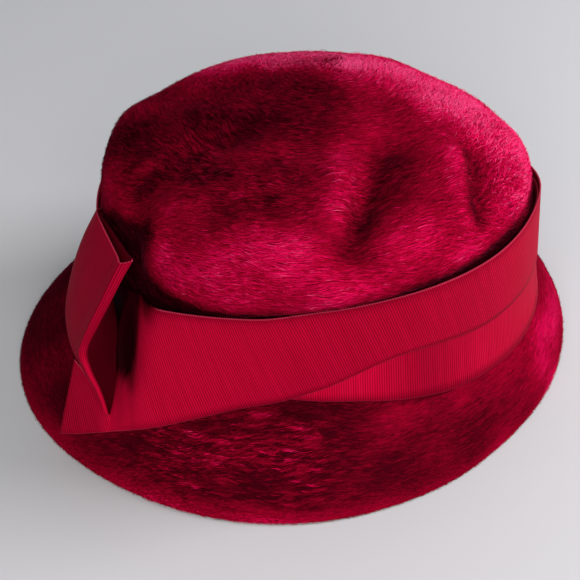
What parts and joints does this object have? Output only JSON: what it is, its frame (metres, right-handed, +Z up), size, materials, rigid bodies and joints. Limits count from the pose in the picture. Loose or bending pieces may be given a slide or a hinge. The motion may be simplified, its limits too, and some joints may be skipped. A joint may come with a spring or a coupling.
{
  "type": "fur felt cloche hat",
  "caption": "Soft fur-felt cloche hat with a dented crown, turned-down brim, layered ribbon band, slanting cut tail and standing ribbon loop.",
  "frame": {"origin": "bottom centre of the bounding box, where the rim rests", "axes": "+Z up out of the crown's top, -X towards the hat's front, -Y towards the wearer's left side, where the ribbon loop stands"},
  "size_m": [0.2624, 0.2552, 0.1274],
  "materials": {
    "fur_felt": "long-nap crimson fur felt",
    "ribbon": "ribbed crimson grosgrain ribbon, soft sheen"
  },
  "bodies": {
    "root": {"crown": "fur_felt", "brim": "fur_felt", "band_base": "ribbon", "band_wrap": "ribbon", "bow_loop": "ribbon"}
  },
  "joints": []
}
